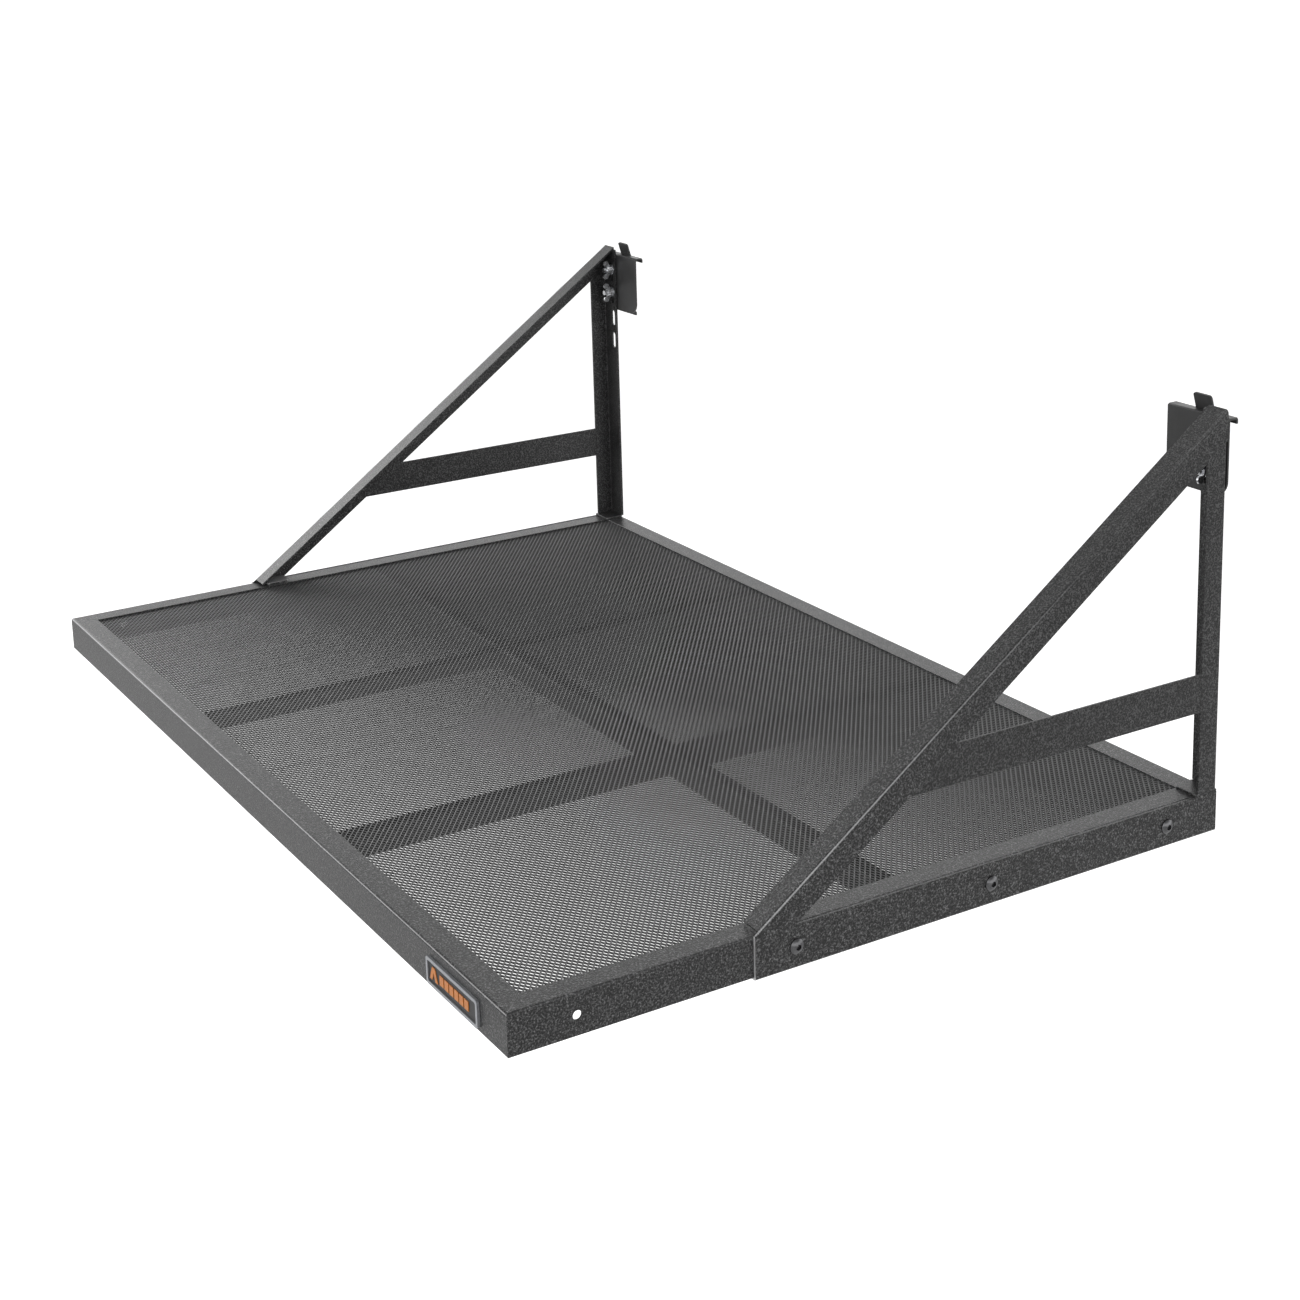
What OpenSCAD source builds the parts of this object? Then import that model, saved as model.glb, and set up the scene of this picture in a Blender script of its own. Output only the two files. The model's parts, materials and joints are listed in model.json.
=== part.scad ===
// Wall-hung steel loft shelf: expanded-metal deck in an angle frame, carried by two welded
// triangular brackets that hang from a wall track by adjustable hook plates.
// X is the width, +Y is toward the wall, +Z is up. Lowest face at z = 0, footprint centred.

/* [Deck] */
// outside width of the deck frame
deck_w = 1143; // [900:1:1220]
// outside depth of the deck frame
deck_d = 762; // [640:1:900]
// height of the frame's side leg
rim_h = 38; // [34:1:60]
// width of the frame's top leg
rim_flange = 25; // [18:1:40]
// steel thickness of the deck frame
rim_t = 1.9; // [1.2:0.1:3]
// overall height of the expanded-metal panel
mesh_t = 2.2; // [1:0.1:3]
// outer faces of the two front-to-back supports from the centre line
support_x = 192; // [120:1:300]
// width of a support's top leg
support_flange = 19; // [12:1:30]
// height of a support's side leg
support_h = 23; // [15:1:28]

/* [Brackets] */
// height of the bracket's upper end above the deck
bracket_h = 375; // [340:1:450]
// distance from the deck's front edge to the bracket's front tip
bracket_setback = 233; // [120:1:300]
// steel thickness of the brackets
bracket_t = 2.5; // [2:0.1:3.5]
// in-plane leg of the bracket angles
web_w = 24; // [20:1:36]
// width of the diagonal's top leg
top_leg = 25; // [20:1:36]
// width of the post's rear leg
post_leg = 30; // [28:1:40]
// underside of the tie strap above the deck
strap_z = 85; // [50:1:130]
// height of the tie strap
strap_w = 38; // [20:1:50]

/* [Hooks] */
// width of a hook plate
hook_w = 79; // [60:1:100]
// height of a hook plate
hook_h = 75; // [66:1:90]
// steel thickness of a hook plate
hook_t = 2; // [1.5:0.1:3]
// how far the hook lips stand behind the plate's front face
hook_out = 12; // [10:0.5:20]
// distance between neighbouring slots in a post
slot_pitch = 30.5; // [28:0.5:34]
// end-to-end length of a slot
slot_l = 21.5; // [19:0.5:24]
// width of a slot
slot_w = 8.5; // [8:0.1:10]

/* [Badge] */
// width of the name plate on the front
badge_w = 95; // [60:1:120]
// height of the name plate
badge_h = 25; // [18:1:28]

/* [Hidden] */
rim_r = 2.6;
bend_r = 3.4;
tip_cut = 5.5;
hook_gap = 0.3;
washer_gap = 0.3;
badge_out = 2.4;
z_deck = rim_h + bracket_t;
y_front = -(deck_d + hook_gap + hook_out - badge_out) / 2;
y_back = y_front + deck_d;
x_rim = deck_w / 2;
x_out = x_rim + bracket_t;
y_tip = y_front + bracket_setback;
slope = bracket_h / (deck_d - bracket_setback);
slope_deg = atan(slope);
web_drop = web_w / cos(slope_deg);
skin_drop = bracket_t / cos(slope_deg);
z_mesh = z_deck - rim_t;
z_support = z_mesh - mesh_t;
bolt_x = x_out - post_leg + 8;
slot_z = z_deck + bracket_h - 35.8;
bolt_z = slot_z + 5.2;
hook_z = z_deck + bracket_h - 84;
screw_y = [275, 486.75, 698.5];
screw_z = z_deck - 20;
hole_y = 63.5;
screw_hole_r = 4.25;
bolt_r = 3.175;
nut_front = washer_gap + 1.5 + 0.3;

// the right-hand piece, mirrored to the left when asked
module on_side(left) {
    if (left) mirror([1, 0, 0]) children();
    else children();
}

// bent angle in section: outer corner at the origin, legs a along +x and b along +y
module angle_section(a, b, t, r) {
    difference() {
        union() {
            translate([r, 0]) square([a - r, b]);
            translate([0, r]) square([a, b - r]);
            translate([r, r]) circle(r = r, $fn = 48);
        }
        union() {
            translate([r, t]) square([a, b]);
            translate([t, r]) square([a, b]);
            translate([r, r]) circle(r = r - t, $fn = 48);
        }
    }
}

// the same with a square inner corner, so that a rim edge can seat in it
module sharp_angle(a, b, t) {
    difference() {
        union() {
            translate([t, 0]) square([a - t, b]);
            translate([0, t]) square([a, b - t]);
            translate([t, t]) circle(r = t, $fn = 48);
        }
        translate([t, t]) square([a, b]);
    }
}

// bar along +X with a section whose x runs along +Y and whose y runs down
module bar_x(length) {
    rotate([90, 0, 90]) linear_extrude(height = length) mirror([0, 1]) children();
}

// bar along +Y with a section whose x runs along -X and whose y runs down
module bar_y(length) {
    translate([0, length, 0]) rotate([90, 0, 0]) linear_extrude(height = length)
        mirror([1, 0]) mirror([0, 1]) children();
}

module cylinder_x(r, length) {
    rotate([0, 90, 0]) cylinder(r = r, h = length, $fn = 48);
}

module cylinder_y(r, length) {
    rotate([-90, 0, 0]) cylinder(r = r, h = length, $fn = 48);
}

// ---- deck ----

module front_rim() {
    m = rim_flange + 4;
    intersection() {
        translate([-x_rim, y_front, z_deck]) bar_x(deck_w)
            angle_section(rim_flange, rim_h, rim_t, rim_r);
        linear_extrude(height = z_deck + 1)
            polygon([[-x_rim, y_front], [x_rim, y_front], [x_rim - m, y_front + m],
                     [-x_rim + m, y_front + m]]);
    }
}

module back_rim() {
    translate([0, y_front + y_back, 0]) mirror([0, 1, 0]) front_rim();
}

module side_rim(left) {
    m = rim_flange + 4;
    on_side(left) difference() {
        intersection() {
            translate([x_rim, y_front, z_deck]) bar_y(deck_d)
                angle_section(rim_flange, rim_h, rim_t, rim_r);
            linear_extrude(height = z_deck + 1)
                polygon([[x_rim, y_front], [x_rim, y_back], [x_rim - m, y_back - m],
                         [x_rim - m, y_front + m]]);
        }
        for (y = concat([hole_y], screw_y))
            translate([x_rim - 5, y_front + y, screw_z]) cylinder_x(screw_hole_r, 10);
    }
}

module mesh_sheet() {
    inset = 7;
    translate([-x_rim + inset, y_front + inset, z_support])
        cube([deck_w - 2 * inset, deck_d - 2 * inset, mesh_t]);
}

module long_support(left) {
    on_side(left) translate([support_x, y_front + rim_t, z_support])
        bar_y(deck_d - 2 * rim_t)
        angle_section(support_flange, support_h, 1.8, 2.4);
}

// cross brace between two x positions, notched over the legs of the long supports
module cross_piece(x0, x1) {
    difference() {
        translate([x0, y_front + deck_d / 2 + 2, z_support]) bar_x(x1 - x0)
            angle_section(support_flange, support_h, 1.8, 2.4);
        for (s = [-1, 1])
            translate([s * (support_x - support_flange / 2) - support_flange / 2,
                       y_front + deck_d / 2 - 5, z_support - 2.4])
                cube([support_flange, support_flange + 12, 5]);
    }
}

// ---- brackets ----

module side_rail(left) {
    on_side(left) difference() {
        translate([x_out, y_tip, 0]) mirror([0, 0, 1])
            bar_y(deck_d - bracket_setback)
            sharp_angle(24, z_deck, bracket_t);
        for (y = screw_y)
            translate([x_rim - 5, y_front + y, screw_z]) cylinder_x(screw_hole_r, 10);
    }
}

module post_angle(left) {
    on_side(left) difference() {
        translate([x_out, y_back, z_deck + bracket_t]) mirror([1, 0, 0]) mirror([0, 1, 0])
            linear_extrude(height = bracket_h - bracket_t)
            angle_section(post_leg, web_w, bracket_t, bend_r);
        // top edge lies along the underside of the diagonal
        translate([x_out + 5, 0, 0]) rotate([90, 0, -90]) linear_extrude(height = 60)
            polygon([[-y_back - 5, z_deck + bracket_h + 20],
                     [-y_back - 5, z_deck + bracket_h - skin_drop + 5 * slope],
                     [-y_tip, z_deck - skin_drop],
                     [-y_tip, z_deck + bracket_h + 20]]);
        // the outer skin gives way to the diagonal's web
        translate([x_out + 5, 0, 0]) rotate([90, 0, -90])
            linear_extrude(height = 5 + bracket_t)
            polygon([[-y_back - 5, z_deck + bracket_h + 20],
                     [-y_back - 5, z_deck + bracket_h - web_drop + 5 * slope],
                     [-y_tip, z_deck - web_drop],
                     [-y_tip, z_deck + bracket_h + 20]]);
        for (i = [0 : 3])
            translate([bolt_x, y_back - 5, slot_z - i * slot_pitch]) slot_cut();
    }
}

module slot_cut() {
    for (s = [-1, 1])
        translate([0, 0, s * (slot_l - slot_w) / 2]) cylinder_y(slot_w / 2, 10);
    translate([-slot_w / 2, 0, -(slot_l - slot_w) / 2]) cube([slot_w, 10, slot_l - slot_w]);
}

module diagonal_angle(left) {
    run = deck_d - bracket_setback;
    on_side(left) intersection() {
        translate([x_out, y_tip, z_deck]) rotate([slope_deg, 0, 0]) difference() {
            translate([0, -80, 0]) bar_y(run / cos(slope_deg) + 160)
                angle_section(top_leg, web_w, bracket_t, bend_r);
            // the top leg ends square, a little short of the web's tip
            translate([-top_leg - 5, -90, -60])
                cube([top_leg + 5 - bracket_t, 90 + tip_cut, 70]);
        }
        translate([x_out - top_leg - 5, y_tip, z_deck])
            cube([top_leg + 10, run, bracket_h + 50]);
    }
}

module tie_strap(left) {
    y0 = y_tip + (strap_z + web_drop) / slope;
    y1 = y_tip + (strap_z + strap_w + web_drop) / slope;
    on_side(left) translate([x_out, 0, 0]) rotate([90, 0, -90])
        linear_extrude(height = bracket_t)
        polygon([[-y0, z_deck + strap_z], [-(y_back - web_w), z_deck + strap_z],
                 [-(y_back - web_w), z_deck + strap_z + strap_w],
                 [-y1, z_deck + strap_z + strap_w]]);
}

// flat foot with two rounded inner corners, from the rail face or over the rail edge
module foot(left, x1, y0, length, width) {
    r = 6;
    on_side(left) translate([x1 - width, y0, z_deck]) linear_extrude(height = bracket_t)
        union() {
            translate([r, 0]) square([width - r, length]);
            translate([0, r]) square([width, length - 2 * r]);
            for (y = [r, length - r]) translate([r, y]) circle(r = r, $fn = 48);
        }
}

// ---- fasteners ----

module button_screw() {
    difference() {
        union() {
            cylinder_x(3.9, 1);
            translate([-14.5, 0, 0]) cylinder_x(3.9, 15);
            rotate([0, 90, 0]) rotate_extrude($fn = 48)
                intersection() {
                    translate([0, -6.6]) circle(r = 10.5, $fn = 96);
                    square([7, 5]);
                }
        }
        translate([1.4, 0, 0]) rotate([0, 90, 0]) cylinder(r = 2.9, h = 5, $fn = 6);
    }
}

module screw_row(left) {
    on_side(left) for (y = screw_y)
        translate([x_out, y_front + y, screw_z]) button_screw();
}

module nut_row(left) {
    on_side(left) for (y = screw_y)
        translate([x_rim - rim_t, y_front + y, screw_z]) rotate([0, -90, 0])
            difference() {
                union() {
                    cylinder(r = 8.6, h = 1.4, $fn = 48);
                    cylinder(r = 7.5, h = 7, $fn = 6);
                }
                translate([0, 0, -1]) cylinder(r = 4, h = 10, $fn = 48);
            }
}

// ---- hooks ----

// plate in its own frame: x inward from the outer end, y back from the front face, z up
module hook_shape() {
    r = 15;
    tab_w = 23;
    lip_w = 20;
    tongue_w = hook_w - 2 * r;
    difference() {
        union() {
            // face plate with rounded lower corners
            rotate([90, 0, 0]) mirror([0, 0, 1]) linear_extrude(height = hook_t) union() {
                translate([0, r]) square([hook_w, hook_h - r - 1]);
                translate([r, 0]) square([tongue_w, r]);
                for (x = [r, hook_w - r]) translate([x, r]) circle(r = r, $fn = 64);
            }
            // top ledge, bent back over the full width
            translate([hook_w, 0, hook_h]) rotate([90, 0, -90])
                linear_extrude(height = hook_w) mirror([1, 0]) mirror([0, 1])
                angle_section(hook_out - 1, 8, hook_t, 3);
            // lips turned down at both ends of the ledge
            for (x = [0, hook_w - lip_w])
                translate([x + lip_w, hook_out, hook_h]) rotate([90, 0, -90])
                    linear_extrude(height = lip_w) mirror([0, 1])
                    angle_section(6, 6, hook_t, 3);
            // centre tab turned up and leaning forward
            translate([(hook_w - tab_w) / 2, hook_out - hook_t - 0.6, hook_h - hook_t])
                rotate([16, 0, 0]) rotate([90, 0, 0]) mirror([0, 0, 1])
                linear_extrude(height = hook_t) union() {
                    square([tab_w, 15]);
                    translate([3, 0]) square([tab_w - 6, 18]);
                    for (x = [3, tab_w - 3]) translate([x, 15]) circle(r = 3, $fn = 32);
                }
            translate([(hook_w - tab_w) / 2, 2, hook_h - hook_t])
                cube([tab_w, hook_out - 2.6, hook_t]);
            // bottom tongue bent back
            translate([r, 0, 0]) mirror([0, 0, 1]) mirror([0, 1, 0])
                translate([tongue_w, 0, 0]) rotate([90, 0, -90])
                linear_extrude(height = tongue_w) mirror([0, 1])
                angle_section(hook_out - 5, 6, hook_t, 3);
            // end of the tongue turned down
            translate([r + tongue_w, hook_out - 2, hook_t]) rotate([90, 0, -90])
                linear_extrude(height = tongue_w) mirror([0, 1])
                angle_section(6, 6, hook_t, 3);
        }
        for (i = [0, 1])
            translate([x_out - bolt_x, -1, bolt_z - hook_z - i * slot_pitch])
                cube_neck(6.5, 10);
    }
}

module cube_neck(w, length) {
    translate([-w / 2, 0, -w / 2]) cube([w, length, w]);
}

module hook_plate(left) {
    on_side(left) translate([x_out, y_back + hook_gap, hook_z]) mirror([1, 0, 0])
        hook_shape();
}

module carriage_bolts(left) {
    on_side(left) for (i = [0, 1])
        translate([bolt_x, y_back + hook_gap, bolt_z - i * slot_pitch]) {
            translate([0, -15.8, 0]) cylinder_y(bolt_r, 16);
            cube_neck(6.3, hook_t);
            translate([0, hook_t, 0]) rotate([-90, 0, 0]) rotate_extrude($fn = 48)
                intersection() {
                    translate([0, -9.2]) circle(r = 12.2, $fn = 96);
                    square([8, 5]);
                }
        }
}

module washer(left, i) {
    on_side(left)
        translate([bolt_x, y_back - bracket_t - washer_gap - 1.5, bolt_z - i * slot_pitch])
        difference() {
            cylinder_y(7, 1.5);
            translate([0, -1, 0]) cylinder_y(3.5, 4);
        }
}

// hub toward the wall at y = 0, wings up and down, bolt axis along -Y
module wing_nut(left, i) {
    on_side(left)
        translate([bolt_x, y_back - bracket_t - nut_front, bolt_z - i * slot_pitch])
        rotate([90, 0, 0]) difference() {
            union() {
                cylinder(r1 = 5.6, r2 = 4.9, h = 6.6, $fn = 48);
                translate([0, 0, 1.2]) rotate([90, 0, 90]) translate([0, 0, -1.1])
                    linear_extrude(height = 2.2) wing_outline();
            }
            translate([0, 0, -1]) cylinder(r = bolt_r + 0.06, h = 20, $fn = 48);
        }
}

module wing_outline() {
    for (s = [0, 1]) mirror([s, 0]) {
        polygon([[0, 0.4], [5, 0], [11.2, 3.4], [6.6, 8.6], [4, 5], [0, 5]]);
        translate([8.7, 5.9]) circle(r = 3.8, $fn = 48);
    }
}

// ---- badge ----

module badge_outline(w, h, r) {
    union() {
        translate([r - w / 2, -h / 2]) square([w - 2 * r, h]);
        translate([-w / 2, r - h / 2]) square([w, h - 2 * r]);
        for (x = [r - w / 2, w / 2 - r], y = [r - h / 2, h / 2 - r])
            translate([x, y]) circle(r = r, $fn = 32);
    }
}

// places a flat outline on the front face, z = 0 at the face, thickness outward
module on_front(depth) {
    translate([x_rim - 95.5, y_front, z_deck - 22.5]) rotate([90, 0, 0])
        linear_extrude(height = depth) children();
}

module badge_frame_part() {
    on_front(badge_out) difference() {
        badge_outline(badge_w, badge_h, 3);
        badge_outline(badge_w - 6, badge_h - 6, 1.6);
    }
}

module badge_field_part() {
    on_front(1.2) badge_outline(badge_w - 6, badge_h - 6, 1.6);
}

// plain chevron and bars standing on the field
module badge_mark_part() {
    bar_w = (badge_w - 40) / 6;
    translate([0, -1.2, 0]) on_front(0.7) {
        translate([-badge_w / 2 + 6, 0])
            polygon([[0, -6], [5, 6], [10, 6], [15, -6], [10.5, -6], [7.5, 1.5], [4.5, -6]]);
        for (k = [0 : 5])
            translate([-badge_w / 2 + 25 + k * bar_w, -4.5]) square([bar_w - 2, 9]);
    }
}

// ---- nodes ----

module rim_front() { color([0.20, 0.20, 0.21]) front_rim(); }
module rim_back() { color([0.20, 0.20, 0.21]) back_rim(); }
module rim_left() { color([0.20, 0.20, 0.21]) side_rim(true); }
module rim_right() { color([0.20, 0.20, 0.21]) side_rim(false); }
module mesh_panel() { color([0.24, 0.24, 0.25]) mesh_sheet(); }
module support_left() { color([0.20, 0.20, 0.21]) long_support(true); }
module support_right() { color([0.20, 0.20, 0.21]) long_support(false); }
module cross_brace_left() {
    color([0.20, 0.20, 0.21]) cross_piece(-x_rim + rim_t, -support_x);
}
module cross_brace_middle() {
    color([0.20, 0.20, 0.21]) cross_piece(-support_x + 1.8, support_x - 1.8);
}
module cross_brace_right() {
    color([0.20, 0.20, 0.21]) cross_piece(support_x, x_rim - rim_t);
}
module rail_left() { color([0.20, 0.20, 0.21]) side_rail(true); }
module rail_right() { color([0.20, 0.20, 0.21]) side_rail(false); }
module post_left() { color([0.20, 0.20, 0.21]) post_angle(true); }
module post_right() { color([0.20, 0.20, 0.21]) post_angle(false); }
module diagonal_left() { color([0.20, 0.20, 0.21]) diagonal_angle(true); }
module diagonal_right() { color([0.20, 0.20, 0.21]) diagonal_angle(false); }
module strap_left() { color([0.20, 0.20, 0.21]) tie_strap(true); }
module strap_right() { color([0.20, 0.20, 0.21]) tie_strap(false); }
module post_foot_left() {
    color([0.20, 0.20, 0.21]) foot(true, x_out, y_back - web_w - 3, web_w + 3, post_leg);
}
module post_foot_right() {
    color([0.20, 0.20, 0.21]) foot(false, x_out, y_back - web_w - 3, web_w + 3, post_leg);
}
module diagonal_foot_left() {
    color([0.20, 0.20, 0.21]) foot(true, x_rim, y_tip + 12, 29, top_leg - bracket_t);
}
module diagonal_foot_right() {
    color([0.20, 0.20, 0.21]) foot(false, x_rim, y_tip + 12, 29, top_leg - bracket_t);
}
module rail_screws_left() { color([0.05, 0.05, 0.05]) screw_row(true); }
module rail_screws_right() { color([0.05, 0.05, 0.05]) screw_row(false); }
module rail_nuts_left() { color([0.75, 0.76, 0.78]) nut_row(true); }
module rail_nuts_right() { color([0.75, 0.76, 0.78]) nut_row(false); }
module hook_plate_left() { color([0.24, 0.24, 0.25]) hook_plate(true); }
module hook_plate_right() { color([0.24, 0.24, 0.25]) hook_plate(false); }
module carriage_bolts_left() { color([0.75, 0.76, 0.78]) carriage_bolts(true); }
module carriage_bolts_right() { color([0.75, 0.76, 0.78]) carriage_bolts(false); }
module washer_left_upper() { color([0.75, 0.76, 0.78]) washer(true, 0); }
module washer_left_lower() { color([0.75, 0.76, 0.78]) washer(true, 1); }
module washer_right_upper() { color([0.75, 0.76, 0.78]) washer(false, 0); }
module washer_right_lower() { color([0.75, 0.76, 0.78]) washer(false, 1); }
module wing_nut_left_upper() { color([0.80, 0.81, 0.83]) wing_nut(true, 0); }
module wing_nut_left_lower() { color([0.80, 0.81, 0.83]) wing_nut(true, 1); }
module wing_nut_right_upper() { color([0.80, 0.81, 0.83]) wing_nut(false, 0); }
module wing_nut_right_lower() { color([0.80, 0.81, 0.83]) wing_nut(false, 1); }
module badge_frame() { color([0.55, 0.56, 0.58]) badge_frame_part(); }
module badge_field() { color([0.06, 0.06, 0.06]) badge_field_part(); }
module badge_mark() { color([0.78, 0.38, 0.12]) badge_mark_part(); }

rim_front();
rim_back();
rim_left();
rim_right();
mesh_panel();
support_left();
support_right();
cross_brace_left();
cross_brace_middle();
cross_brace_right();
rail_left();
rail_right();
post_left();
post_right();
diagonal_left();
diagonal_right();
strap_left();
strap_right();
post_foot_left();
post_foot_right();
diagonal_foot_left();
diagonal_foot_right();
rail_screws_left();
rail_screws_right();
rail_nuts_left();
rail_nuts_right();
hook_plate_left();
hook_plate_right();
carriage_bolts_left();
carriage_bolts_right();
washer_left_upper();
washer_left_lower();
washer_right_upper();
washer_right_lower();
wing_nut_left_upper();
wing_nut_left_lower();
wing_nut_right_upper();
wing_nut_right_lower();
badge_frame();
badge_field();
badge_mark();
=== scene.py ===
"""Looks for the wall-hung loft shelf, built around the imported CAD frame. Metres, row frame."""
import json
import math

import bpy
import numpy as np
from mathutils import Matrix, Vector

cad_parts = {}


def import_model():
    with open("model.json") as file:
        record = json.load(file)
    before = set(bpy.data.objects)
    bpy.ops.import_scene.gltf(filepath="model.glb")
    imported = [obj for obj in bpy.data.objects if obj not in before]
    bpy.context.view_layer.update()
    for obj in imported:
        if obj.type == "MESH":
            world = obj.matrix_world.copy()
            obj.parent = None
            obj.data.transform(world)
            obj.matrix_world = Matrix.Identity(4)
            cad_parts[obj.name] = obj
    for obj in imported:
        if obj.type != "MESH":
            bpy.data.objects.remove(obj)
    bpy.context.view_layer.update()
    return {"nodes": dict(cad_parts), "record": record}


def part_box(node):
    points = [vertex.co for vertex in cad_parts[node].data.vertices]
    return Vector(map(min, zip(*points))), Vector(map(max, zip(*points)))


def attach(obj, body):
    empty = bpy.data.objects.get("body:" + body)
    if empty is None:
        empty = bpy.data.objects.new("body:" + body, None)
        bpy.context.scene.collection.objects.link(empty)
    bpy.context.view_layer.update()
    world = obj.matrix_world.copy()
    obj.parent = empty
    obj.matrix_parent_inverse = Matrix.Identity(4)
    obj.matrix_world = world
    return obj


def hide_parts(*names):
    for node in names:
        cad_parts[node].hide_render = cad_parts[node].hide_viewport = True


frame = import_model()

MM = 0.001
scene = bpy.context.scene


# ---------------------------------------------------------------- node helpers
class Graph:
    """A material's node tree, with short ways to add and link nodes."""

    def __init__(self, name):
        self.mat = bpy.data.materials.new(name)
        self.mat.use_nodes = True
        self.tree = self.mat.node_tree
        self.tree.nodes.clear()
        self.out = self.add("ShaderNodeOutputMaterial")
        self.bsdf = self.add("ShaderNodeBsdfPrincipled")
        self.link(self.bsdf.outputs[0], self.out.inputs[0])
        self.coord = self.add("ShaderNodeTexCoord").outputs["Object"]

    def add(self, kind, **inputs):
        node = self.tree.nodes.new(kind)
        for key, value in inputs.items():
            node.inputs[key.replace("_", " ")].default_value = value
        return node

    def link(self, a, b):
        self.tree.links.new(a, b)

    def noise(self, scale, detail=3.0, rough=0.55, coord=None):
        n = self.add("ShaderNodeTexNoise", Scale=scale, Detail=detail, Roughness=rough)
        self.link(coord or self.coord, n.inputs["Vector"])
        return n.outputs["Fac"]

    def warped(self, scale, amount):
        """Coordinates pushed about by noise."""
        n = self.add("ShaderNodeTexNoise", Scale=scale, Detail=2.0)
        self.link(self.coord, n.inputs["Vector"])
        sub = self.add("ShaderNodeVectorMath")
        sub.operation = "SUBTRACT"
        self.link(n.outputs["Color"], sub.inputs[0])
        sub.inputs[1].default_value = (0.5, 0.5, 0.5)
        mul = self.add("ShaderNodeVectorMath")
        mul.operation = "SCALE"
        self.link(sub.outputs[0], mul.inputs[0])
        mul.inputs["Scale"].default_value = amount
        plus = self.add("ShaderNodeVectorMath")
        plus.operation = "ADD"
        self.link(self.coord, plus.inputs[0])
        self.link(mul.outputs[0], plus.inputs[1])
        return plus.outputs[0]

    def voronoi(self, scale, coord, feature="SMOOTH_F1", smooth=0.6):
        v = self.add("ShaderNodeTexVoronoi", Scale=scale)
        v.feature = feature
        if feature == "SMOOTH_F1":
            v.inputs["Smoothness"].default_value = smooth
        self.link(coord, v.inputs["Vector"])
        return v.outputs["Distance"]

    def ramp(self, fac, stops, ease="LINEAR"):
        r = self.add("ShaderNodeValToRGB")
        r.color_ramp.interpolation = ease
        for _ in stops[2:]:
            r.color_ramp.elements.new(0.5)
        for e, (p, c) in zip(r.color_ramp.elements, stops):
            e.position = p
            e.color = (*c, 1.0)
        self.link(fac, r.inputs[0])
        return r.outputs[0]

    def maprange(self, fac, a, b, c, d):
        m = self.add("ShaderNodeMapRange")
        for i, v in enumerate((a, b, c, d)):
            m.inputs[i + 1].default_value = v
        self.link(fac, m.inputs[0])
        return m.outputs[0]

    def math(self, op, a, b):
        m = self.add("ShaderNodeMath")
        m.operation = op
        for i, v in enumerate((a, b)):
            if isinstance(v, (int, float)):
                m.inputs[i].default_value = v
            else:
                self.link(v, m.inputs[i])
        return m.outputs[0]

    def mix(self, fac, a, b):
        m = self.add("ShaderNodeMix")
        m.data_type = "RGBA"
        for socket, v in ((m.inputs[0], fac), (m.inputs[6], a), (m.inputs[7], b)):
            if isinstance(v, (int, float)):
                socket.default_value = v
            elif isinstance(v, tuple):
                socket.default_value = (*v, 1.0)
            else:
                self.link(v, socket)
        return m.outputs[2]

    def front_faces(self):
        """1 on faces that look toward the front, 0 elsewhere."""
        part = self.add("ShaderNodeSeparateXYZ")
        self.link(self.add("ShaderNodeTexCoord").outputs["Normal"], part.inputs[0])
        return self.maprange(part.outputs[1], -0.4, -0.8, 0.0, 1.0)

    def edges(self, tilt=0.0):
        """1 on bends and rounded edges, 0 on flat faces. tilt turns the flat faces about X."""
        way = self.add("ShaderNodeTexCoord").outputs["Normal"]
        if tilt:
            turn = self.add("ShaderNodeVectorRotate", Angle=-tilt)
            turn.rotation_type = "X_AXIS"
            self.link(way, turn.inputs["Vector"])
            way = turn.outputs[0]
        absolute = self.add("ShaderNodeVectorMath")
        absolute.operation = "ABSOLUTE"
        self.link(way, absolute.inputs[0])
        part = self.add("ShaderNodeSeparateXYZ")
        self.link(absolute.outputs[0], part.inputs[0])
        most = self.math("MAXIMUM", self.math("MAXIMUM", part.outputs[0], part.outputs[1]),
                         part.outputs[2])
        return self.maprange(most, 0.9, 0.76, 0.0, 1.0)

    def bump(self, height, strength, distance, normal=None):
        b = self.add("ShaderNodeBump", Strength=strength, Distance=distance)
        self.link(height, b.inputs["Height"])
        if normal is not None:
            self.link(normal, b.inputs["Normal"])
        return b.outputs[0]

    def finish(self, color, rough, normal=None, metallic=0.0, **plain):
        b = self.bsdf
        self.link(color, b.inputs["Base Color"])
        if isinstance(rough, (int, float)):
            b.inputs["Roughness"].default_value = rough
        else:
            self.link(rough, b.inputs["Roughness"])
        b.inputs["Metallic"].default_value = metallic
        if normal is not None:
            self.link(normal, b.inputs["Normal"])
        for key, value in plain.items():
            b.inputs[key.replace("_", " ")].default_value = value
        return self.mat


def grey(v):
    return (v, v, v * 1.012)


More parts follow.
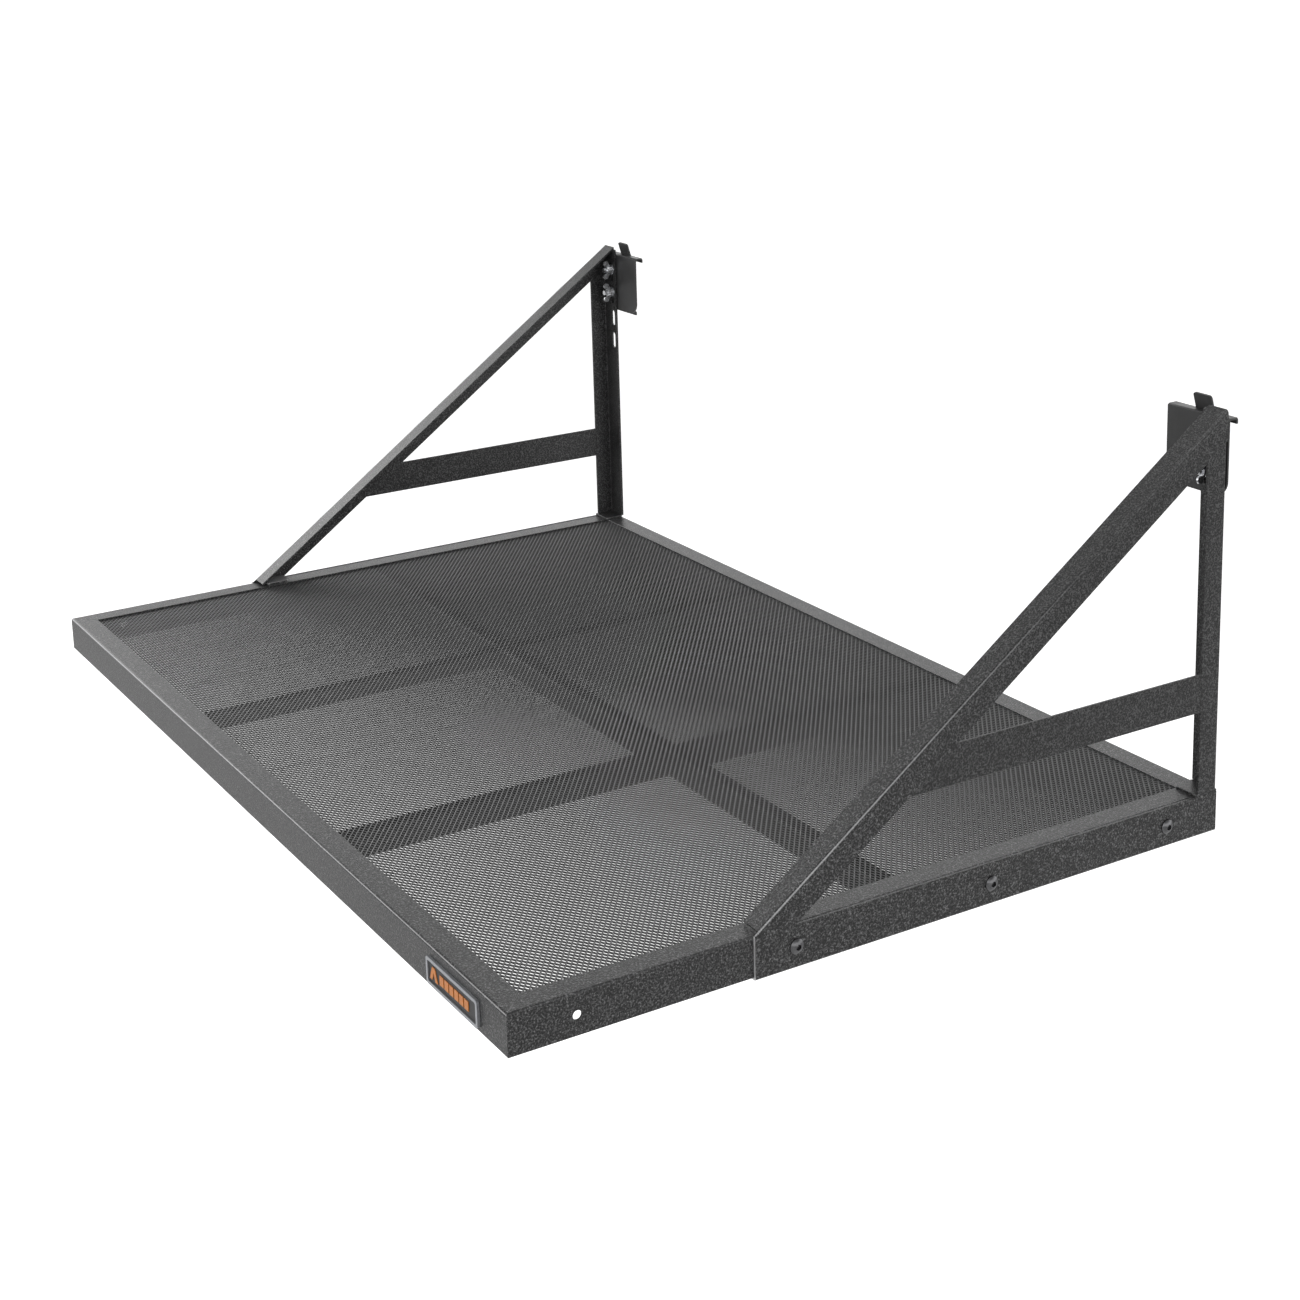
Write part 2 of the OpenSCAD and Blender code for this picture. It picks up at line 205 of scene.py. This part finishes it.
# ---------------------------------------------------------------- materials
def hammertone(name, low, mid, high, tilt=0.0, wear_and_highlight=1.0, highlit_cut_end=False, speckle=0.85):
    """Charcoal powder coat with a fine hammered speckle, lightened along the bends as rubbed edges
    with a painted highlight.

    Both fade with height, so the brackets' upper parts look plainer. Faces that look to the front
    can also get a painted highlight."""
    g = Graph(name)
    height = g.add("ShaderNodeSeparateXYZ")
    g.link(g.coord, height.inputs[0])
    height = g.maprange(height.outputs[2], 0.1, 0.3, 1.0, 0.12)
    push = g.warped(600.0, 0.0008)
    cells = g.voronoi(700.0, push, smooth=0.7)
    blot = g.noise(560.0, 4.0, 0.7, push)
    fine = g.noise(1500.0, 2.0, 0.6)
    broad = g.noise(9.0, 3.0, 0.6)
    pattern = g.math("ADD", g.math("MULTIPLY", cells, 0.5), g.math("MULTIPLY", blot, 0.7))
    tone = g.ramp(pattern, [(0.38, grey(low)), (0.54, grey(mid)), (0.74, grey(high))], "EASE")
    tone = g.mix(g.maprange(broad, 0.3, 0.7, 0.0, 0.2), tone, grey(mid * 1.2))
    specks = g.maprange(g.noise(560.0, 3.0, 0.6), 0.57, 0.66, 0.0, speckle)
    tone = g.mix(g.math("MULTIPLY", specks, height), tone, grey(high * 2.4))
    # painted highlight with rubbed edges: bends and rounded edges are coloured lighter, less so
    # higher up
    worn_and_highlit = g.maprange(fine, 0.35, 0.6, 0.35 * wear_and_highlight, wear_and_highlight)
    worn_and_highlit = g.math("MULTIPLY", g.math("MULTIPLY", g.edges(tilt), worn_and_highlit), height)
    # painted highlight on faces that look to the front, such as the rail's cut end
    if highlit_cut_end:
        worn_and_highlit = g.math("MAXIMUM", worn_and_highlit, g.front_faces())
    tone = g.mix(worn_and_highlit, tone, grey(0.5))
    normal = g.bump(blot, 0.55, 0.0005)
    normal = g.bump(cells, 0.4, 0.0005, normal)
    gloss = g.maprange(pattern, 0.35, 0.75, 0.28, 0.44)
    return g.finish(tone, gloss, normal, 0.2, IOR=1.42)


def satin_coat(name, base, rough=0.42, bump=0.14):
    """Smoother charcoal coat of the small pressed plates."""
    g = Graph(name)
    broad = g.noise(30.0, 3.0)
    fine = g.noise(900.0, 2.0, 0.6)
    tone = g.ramp(broad, [(0.3, grey(base * 0.86)), (0.7, grey(base * 1.16))])
    tone = g.mix(g.maprange(fine, 0.58, 0.75, 0.0, 0.25), tone, grey(base * 1.9))
    gloss = g.maprange(broad, 0.3, 0.7, rough - 0.05, rough + 0.06)
    return g.finish(tone, gloss, g.bump(fine, bump, 0.0003), 0.2, IOR=1.5)


def lattice_painted_highlight_coat(name, wall, top):
    """Charcoal coat of the lattice, with a painted highlight: its upper faces are coloured lighter
    than the hole walls, standing in for the light they catch.
    """
    g = Graph(name)
    part = g.add("ShaderNodeSeparateXYZ")
    g.link(g.add("ShaderNodeTexCoord").outputs["Normal"], part.inputs[0])
    fine = g.noise(900.0, 2.0, 0.6)
    broad = g.noise(30.0, 3.0)
    upper = g.ramp(fine, [(0.35, grey(top * 0.75)), (0.65, grey(top * 1.25))])
    lower = g.ramp(broad, [(0.3, grey(wall * 0.85)), (0.7, grey(wall * 1.15))])
    # painted highlight: faces turned upward take the lighter tone
    tone = g.mix(g.maprange(part.outputs[2], 0.35, 0.85, 0.0, 1.0), lower, upper)
    gloss = g.maprange(broad, 0.3, 0.7, 0.36, 0.46)
    return g.finish(tone, gloss, g.bump(fine, 0.1, 0.0003), 0.2, IOR=1.5)


def zinc(name):
    """Bright zinc plate with faint crystal blotches."""
    g = Graph(name)
    spangle = g.voronoi(500.0, g.coord, "F1")
    broad = g.noise(160.0, 3.0)
    tone = g.ramp(spangle, [(0.1, (0.60, 0.61, 0.63)), (0.8, (0.86, 0.87, 0.89))])
    tone = g.mix(g.maprange(broad, 0.35, 0.7, 0.0, 0.3), tone, (0.46, 0.47, 0.50))
    gloss = g.maprange(broad, 0.3, 0.7, 0.2, 0.36)
    return g.finish(tone, gloss, g.bump(broad, 0.12, 0.0002), 1.0)


def black_oxide(name):
    """Dark, polished black screw heads."""
    g = Graph(name)
    broad = g.noise(300.0, 3.0)
    tone = g.ramp(broad, [(0.3, (0.085, 0.085, 0.088)), (0.7, (0.14, 0.14, 0.145))])
    gloss = g.maprange(broad, 0.3, 0.7, 0.18, 0.27)
    return g.finish(tone, gloss, g.bump(broad, 0.1, 0.0002), 0.9, IOR=1.5)


def moulded(name, color, rough, metallic=0.0, spread=0.18):
    """Fine-grained moulded or cast finish in one colour family."""
    g = Graph(name)
    fine = g.noise(700.0, 4.0, 0.6)
    dark = tuple(c * (1 - spread) for c in color)
    light = tuple(c * (1 + spread) for c in color)
    tone = g.ramp(fine, [(0.3, dark), (0.7, light)])
    gloss = g.maprange(fine, 0.3, 0.7, rough - 0.06, rough + 0.06)
    return g.finish(tone, gloss, g.bump(fine, 0.12, 0.0002), metallic)


# dark, middle and light tones of the charcoal coat
COAT_TONES = (0.004, 0.014, 0.075)

MATERIALS = {
    "frame_coat": hammertone("frame_hammertone", *COAT_TONES),
    "mesh_coat": lattice_painted_highlight_coat("mesh_coat", *COAT_TONES[1:]),
    "hook_coat": satin_coat("hook_satin", 0.03),
    "black_fastener": black_oxide("black_oxide"),
    "zinc": zinc("bright_zinc"),
    "badge_rim": moulded("badge_silver", (0.33, 0.34, 0.36), 0.4, 0.6),
    "badge_black": moulded("badge_black", (0.018, 0.018, 0.019), 0.5),
    "badge_orange": moulded("badge_orange", (0.52, 0.17, 0.025), 0.45),
}

# the frame coat again, with tilt, edge rubbing and painted highlight, and speckle set for the piece
DIAGONAL_SLOPE = math.radians(35.33)
COATS = {
    "diagonal": hammertone("diagonal_hammertone", *COAT_TONES, tilt=DIAGONAL_SLOPE),
    "rail": hammertone("rail_hammertone", *COAT_TONES, wear_and_highlight=0.6, highlit_cut_end=True),
    "post": hammertone("post_hammertone", *COAT_TONES, wear_and_highlight=0.3, speckle=0.3),
    "strap": hammertone("strap_hammertone", *COAT_TONES, wear_and_highlight=0.3, speckle=0.25),
    "rim_left": hammertone("side_hammertone", *COAT_TONES, wear_and_highlight=0.12),
}
COATS["rim_right"] = COATS["rim_left"]

slots = {s["node"]: s["material_slot"] for s in frame["record"]["subparts"]}


def coat_of(name):
    """The material of a CAD piece: its slot's, or the frame coat made for its kind of piece."""
    if slots[name] != "frame_coat":
        return MATERIALS[slots[name]]
    return COATS.get(name) or COATS.get(name.split("_")[0]) or MATERIALS["frame_coat"]


for name, obj in frame["nodes"].items():
    obj.data.materials.clear()
    obj.data.materials.append(coat_of(name))


# ---------------------------------------------------------------- softened steel edges
RAIL_EDGE, FRAME_EDGE, HOOK_EDGE = 0.9 * MM, 0.5 * MM, 0.4 * MM


def soften(obj, width, segments=2):
    """Rounds the sharp edges of a CAD piece with modifiers only."""
    weld = obj.modifiers.new("weld", "WELD")
    weld.merge_threshold = 2e-6
    flat = obj.modifiers.new("flat", "DECIMATE")
    flat.decimate_type = "DISSOLVE"
    flat.angle_limit = math.radians(0.5)
    bevel = obj.modifiers.new("edge", "BEVEL")
    bevel.width = width
    bevel.segments = segments
    bevel.limit_method = "ANGLE"
    bevel.angle_limit = math.radians(35)
    bevel.use_clamp_overlap = True
    bevel.harden_normals = True


FRAME_STEEL = [n for n, s in slots.items() if s == "frame_coat"]
for name in FRAME_STEEL:
    soften(frame["nodes"][name], RAIL_EDGE if name.startswith("rail") else FRAME_EDGE)
for side in ("left", "right"):
    soften(frame["nodes"][f"hook_plate_{side}"], HOOK_EDGE)


# ---------------------------------------------------------------- expanded-metal deck
STRAND_THICK = 1.12 * MM
STRAND_SLOPE = 0.6 * MM        # each hole's wall-side edge stands this far below its front edge
STRAND_X, STRAND_Y = 0.95 * MM, 1.15 * MM        # a half hole is this much shorter than a half cell
HOLE_TIP = 0.5 * MM            # half the width of each hole's blunt front and back ends


def mesh_of(name, verts, quads, tris):
    """A mesh from arrays of corners, four-sided faces and triangles."""
    mesh = bpy.data.meshes.new(name)
    mesh.vertices.add(len(verts))
    mesh.vertices.foreach_set("co", verts.astype(np.float32).ravel())
    loops = np.concatenate([quads.ravel(), tris.ravel()])
    mesh.loops.add(len(loops))
    mesh.loops.foreach_set("vertex_index", loops.astype(np.int32))
    starts = np.concatenate([np.arange(len(quads)) * 4,
                             len(quads) * 4 + np.arange(len(tris)) * 3])
    mesh.polygons.add(len(quads) + len(tris))
    mesh.polygons.foreach_set("loop_start", starts.astype(np.int32))
    mesh.update(calc_edges=True)
    mesh.validate()
    return mesh


def expanded_metal(name, cells, origin, z_top, half_x, half_y):
    """One panel of diamond lattice. cells is an array of (i, j) half-cell indices of its holes."""
    hx, hy, gx = half_x - STRAND_X, half_y - STRAND_Y, HOLE_TIP
    ring = np.array([[hx, 0, 0.5], [gx, hy, 1.0], [-gx, hy, 1.0], [-hx, 0, 0.5],
                     [-gx, -hy, 0.0], [gx, -hy, 0.0]])
    n = len(cells)
    centre = origin + cells * np.array([half_x, half_y])
    hole = np.zeros((n, 6, 3))
    hole[:, :, :2] = centre[:, None, :] + ring[None, :, :2]
    hole[:, :, 2] = z_top - STRAND_SLOPE * ring[None, :, 2]
    around = np.array([[1, 0], [0, 1], [-1, 0], [0, -1]])
    bond_ij = cells[:, None, :] + around[None]
    flat = bond_ij.reshape(-1, 2)
    unique, inverse = np.unique(flat, axis=0, return_inverse=True)
    inverse = inverse.reshape(-1, 4)
    bonds = np.zeros((len(unique), 3))
    bonds[:, :2] = origin + unique * np.array([half_x, half_y])
    bonds[:, 2] = z_top - STRAND_SLOPE * 0.5
    top = np.concatenate([hole.reshape(-1, 3), bonds])
    low = top - np.array([0, 0, STRAND_THICK])
    verts = np.concatenate([top, low])
    shift = len(top)
    h = np.arange(n)[:, None] * 6 + np.arange(6)[None]
    r, t, l, b = (6 * n + inverse[:, k] for k in range(4))
    quads_top = [
        np.stack([r, t, h[:, 1], h[:, 0]], 1), np.stack([t, l, h[:, 3], h[:, 2]], 1),
        np.stack([l, b, h[:, 4], h[:, 3]], 1), np.stack([b, r, h[:, 0], h[:, 5]], 1)]
    tris_top = [np.stack([t, h[:, 2], h[:, 1]], 1), np.stack([b, h[:, 5], h[:, 4]], 1)]
    quads = list(quads_top)
    quads += [q[:, ::-1] + shift for q in quads_top]
    for k in range(6):
        a, c = h[:, k], h[:, (k + 1) % 6]
        quads.append(np.stack([a, c, c + shift, a + shift], 1)[:, ::-1])
    tris = tris_top + [q[:, ::-1] + shift for q in tris_top]
    # outer walls, where a rhombus side has no neighbour
    present = {tuple(c) for c in cells.tolist()}
    sides = [((1, 1), r, t), ((-1, 1), t, l), ((-1, -1), l, b), ((1, -1), b, r)]
    wall = []
    for (di, dj), a, c in sides:
        open_side = np.array([(i + di, j + dj) not in present for i, j in cells.tolist()])
        wall.append(np.stack([c, a, a + shift, c + shift], 1)[open_side][:, ::-1])
    quads += wall
    mesh = mesh_of(name, verts, np.concatenate(quads), np.concatenate(tris))
    obj = bpy.data.objects.new(name, mesh)
    scene.collection.objects.link(obj)
    mesh.materials.append(MATERIALS["mesh_coat"])
    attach(obj, "frame")
    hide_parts("mesh_panel")
    return obj


CELL_X, CELL_Y = 7.7 * MM, 5.85 * MM
lo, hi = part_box("mesh_panel")
half = np.array([CELL_X, CELL_Y]) / 2
count = np.floor((np.array([hi.x - lo.x, hi.y - lo.y]) / half - 2) / 2).astype(int)
middle = np.array([(lo.x + hi.x) / 2, (lo.y + hi.y) / 2])
ii, jj = np.meshgrid(np.arange(-count[0], count[0] + 1), np.arange(-count[1], count[1] + 1))
grid = np.stack([ii.ravel(), jj.ravel()], 1)
grid = grid[(grid.sum(1) % 2) == 0]
COLS, ROWS = 4, 2
col = np.clip((grid[:, 0] + count[0]) * COLS // (2 * count[0] + 1), 0, COLS - 1)
row = np.clip((grid[:, 1] + count[1]) * ROWS // (2 * count[1] + 1), 0, ROWS - 1)
for c in range(COLS):
    for r in range(ROWS):
        expanded_metal(f"expanded_mesh_{c}{r}", grid[(col == c) & (row == r)], middle, hi.z,
                       half[0], half[1])


# ---------------------------------------------------------------- stage
FLOOR_GLOW, FLOOR_FILL = 0.5, 0.15        # glow as the camera and as the object sees it
FLOOR_REACH, FLOOR_Z = 90.0, -1.2
WORLD_LOW, WORLD_HIGH = 2.0, 0.42         # light from the horizon and below, and from overhead
WORLD_FADE = (0.26, 0.46)                 # sky heights, 0 to 1, where one turns into the other


def floor():
    size, z = FLOOR_REACH, FLOOR_Z
    mesh = bpy.data.meshes.new("studio_floor")
    mesh.from_pydata([(-size, -size, z), (size, -size, z), (size, size, z), (-size, size, z)],
                     [], [(0, 1, 2, 3)])
    obj = bpy.data.objects.new("studio_floor", mesh)
    scene.collection.objects.link(obj)
    g = Graph("pale_floor")
    tone = g.ramp(g.noise(0.6, 2.0), [(0.3, (0.90, 0.90, 0.90)), (0.7, (0.93, 0.93, 0.93))])
    g.finish(tone, 0.9, Emission_Color=(1.0, 1.0, 1.0, 1.0))
    seen = g.add("ShaderNodeLightPath").outputs["Is Camera Ray"]
    g.link(g.maprange(seen, 0.0, 1.0, FLOOR_FILL, FLOOR_GLOW), g.bsdf.inputs["Emission Strength"])
    mesh.materials.append(g.mat)


def light(name, place, target, size, power):
    data = bpy.data.lights.new(name, "AREA")
    data.shape = "RECTANGLE"
    data.size, data.size_y = size
    data.energy = power
    obj = bpy.data.objects.new(name, data)
    obj.location = place
    obj.rotation_euler = (Vector(target) - Vector(place)).to_track_quat("-Z", "Y").to_euler()
    scene.collection.objects.link(obj)
    return obj


def world():
    """A white studio: white to the camera, and brightest near the horizon for the object."""
    w = bpy.data.worlds.new("studio")
    scene.world = w
    w.use_nodes = True
    tree = w.node_tree
    back = tree.nodes["Background"]
    back.inputs[0].default_value = (1.0, 1.0, 1.0, 1.0)
    part = tree.nodes.new("ShaderNodeSeparateXYZ")
    tree.links.new(tree.nodes.new("ShaderNodeTexCoord").outputs["Generated"], part.inputs[0])
    fade = tree.nodes.new("ShaderNodeMapRange")
    for socket, value in zip(range(1, 5), (*WORLD_FADE, WORLD_LOW, WORLD_HIGH)):
        fade.inputs[socket].default_value = value
    tree.links.new(part.outputs[2], fade.inputs[0])
    path = tree.nodes.new("ShaderNodeLightPath")
    level = tree.nodes.new("ShaderNodeMapRange")
    tree.links.new(fade.outputs[0], level.inputs[3])
    level.inputs[4].default_value = 1.0
    tree.links.new(path.outputs["Is Camera Ray"], level.inputs[0])
    tree.links.new(level.outputs[0], back.inputs[1])


floor()
world()
light("left_box", (-4.6, -0.8, 1.9), (0, 0, 0.1), (2.2, 1.5), 50)
light("top_box", (-0.3, 1.2, 2.8), (0, 0, 0), (3.0, 2.0), 30)

# ---------------------------------------------------------------- camera
CAMERA_PLACE = (2.00614, -1.09188, 0.92323)
CAMERA_RIGHT = Vector((0.51602, 0.85618, -0.02593))
CAMERA_UP = Vector((-0.1768, 0.13608, 0.97479))
CAMERA_FORWARD = Vector((-0.83813, 0.49843, -0.22159))
cam = bpy.data.cameras.new("camera")
cam.sensor_width = 36.0
cam.lens = 61.734
cam.shift_y = -0.22
cam_obj = bpy.data.objects.new("camera", cam)
basis = Matrix((CAMERA_RIGHT, CAMERA_UP, -CAMERA_FORWARD)).transposed().to_4x4()
cam_obj.matrix_world = Matrix.Translation(CAMERA_PLACE) @ basis
scene.collection.objects.link(cam_obj)
scene.camera = cam_obj
scene.view_settings.view_transform = "Standard"
